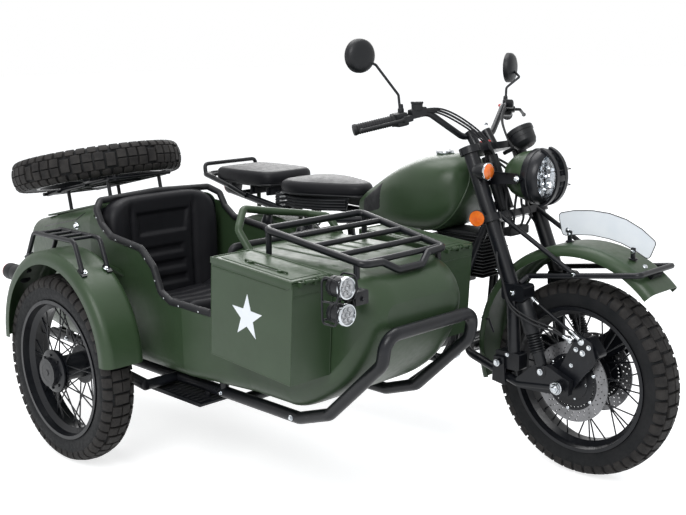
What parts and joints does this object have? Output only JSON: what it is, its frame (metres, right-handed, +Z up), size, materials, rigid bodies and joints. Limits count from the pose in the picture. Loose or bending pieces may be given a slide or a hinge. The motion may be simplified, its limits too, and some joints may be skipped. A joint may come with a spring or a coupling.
{
  "type": "sidecar motorcycle",
  "caption": "Military-style motorcycle with a one-seat sidecar, side boxes on its nose, a spare wheel on its trunk and tube racks.",
  "frame": {"origin": "on the floor, in the middle of the whole vehicle's length and width", "axes": "+X forward, +Y to the rider's left, +Z up"},
  "size_m": [2.4346, 1.6449, 1.418],
  "materials": {
    "olive_paint": "satin",
    "black_paint": "satin",
    "white_paint": "satin",
    "tyre_rubber": "matte",
    "grip_rubber": "matte",
    "seat_vinyl": "satin",
    "steel": "satin",
    "black_plastic": "matte",
    "orange_lens": "glossy",
    "red_lens": "glossy",
    "engine_metal": "satin"
  },
  "bodies": {
    "chassis": {"frame": "black_paint", "engine": "engine_metal", "exhaust": "black_paint", "swing_arm": "black_paint", "rear_shocks": "black_paint", "fuel_tank": "olive_paint", "seats": "seat_vinyl", "tail_rack": "black_paint", "rear_fender": "olive_paint", "sidecar_fender": "olive_paint", "tail_lamps": "red_lens", "fender_rack": "black_paint", "sidecar_body": "olive_paint", "seat_base": "black_paint", "seat_cushion": "seat_vinyl", "seat_back": "seat_vinyl", "coaming": "grip_rubber", "grab_bar": "olive_paint", "nose_rack": "black_paint", "ammo_boxes": "olive_paint", "side_lamps": "black_plastic", "bull_bar": "black_paint", "sidecar_frame": "black_paint", "mount_struts": "black_paint", "step": "black_paint"},
    "steering": {"fork": "black_paint", "front_link": "black_paint", "front_shocks": "black_paint", "front_fender": "olive_paint", "fender_stays": "black_paint", "number_plate": "white_paint", "headlight": "olive_paint", "headlight_mount": "black_paint", "handlebar": "black_paint", "controls": "grip_rubber", "mirrors": "black_plastic", "gauge": "black_plastic", "indicators": "orange_lens", "calipers": "black_paint"},
    "front_wheel": {"front_tyre": "tyre_rubber", "front_rim": "black_paint", "front_discs": "steel"},
    "rear_wheel": {"rear_tyre": "tyre_rubber", "rear_rim": "black_paint"},
    "sidecar_wheel": {"sidecar_tyre": "tyre_rubber", "sidecar_rim": "black_paint"},
    "outer_lid": {"outer_box_lid": "olive_paint"},
    "inner_lid": {"inner_box_lid": "olive_paint"},
    "trunk_lid": {"trunk_lid": "olive_paint", "spare_rack": "black_paint", "spare_tyre": "tyre_rubber", "spare_rim": "black_paint"}
  },
  "joints": [
    {"name": "steering", "type": "hinge", "parent": "chassis", "child": "steering", "pos_m": [0.48817, 0.3675, 1.04], "axis": [0.3827, 0, -0.9239], "range_deg": [-35, 35]},
    {"name": "front_wheel_spin", "type": "hinge", "parent": "steering", "child": "front_wheel", "pos_m": [0.89717, 0.3675, 0.325], "axis": [0, 1, 0], "continuous": true},
    {"name": "rear_wheel_spin", "type": "hinge", "parent": "chassis", "child": "rear_wheel", "pos_m": [-0.60283, 0.3675, 0.325], "axis": [0, 1, 0], "continuous": true},
    {"name": "sidecar_wheel_spin", "type": "hinge", "parent": "chassis", "child": "sidecar_wheel", "pos_m": [-0.44883, -0.7325, 0.325], "axis": [0, 1, 0], "continuous": true},
    {"name": "outer_lid_hinge", "type": "hinge", "parent": "chassis", "child": "outer_lid", "pos_m": [0.66197, -0.6098, 0.77788], "axis": [0, 1, 0], "range_deg": [0, 100]},
    {"name": "inner_lid_hinge", "type": "hinge", "parent": "chassis", "child": "inner_lid", "pos_m": [0.66197, 0.0048, 0.77788], "axis": [0, 1, 0], "range_deg": [0, 100]},
    {"name": "trunk_lid_hinge", "type": "hinge", "parent": "chassis", "child": "trunk_lid", "pos_m": [-0.55509, -0.3025, 0.86346], "axis": [0, 1, 0], "range_deg": [0, 35]}
  ]
}
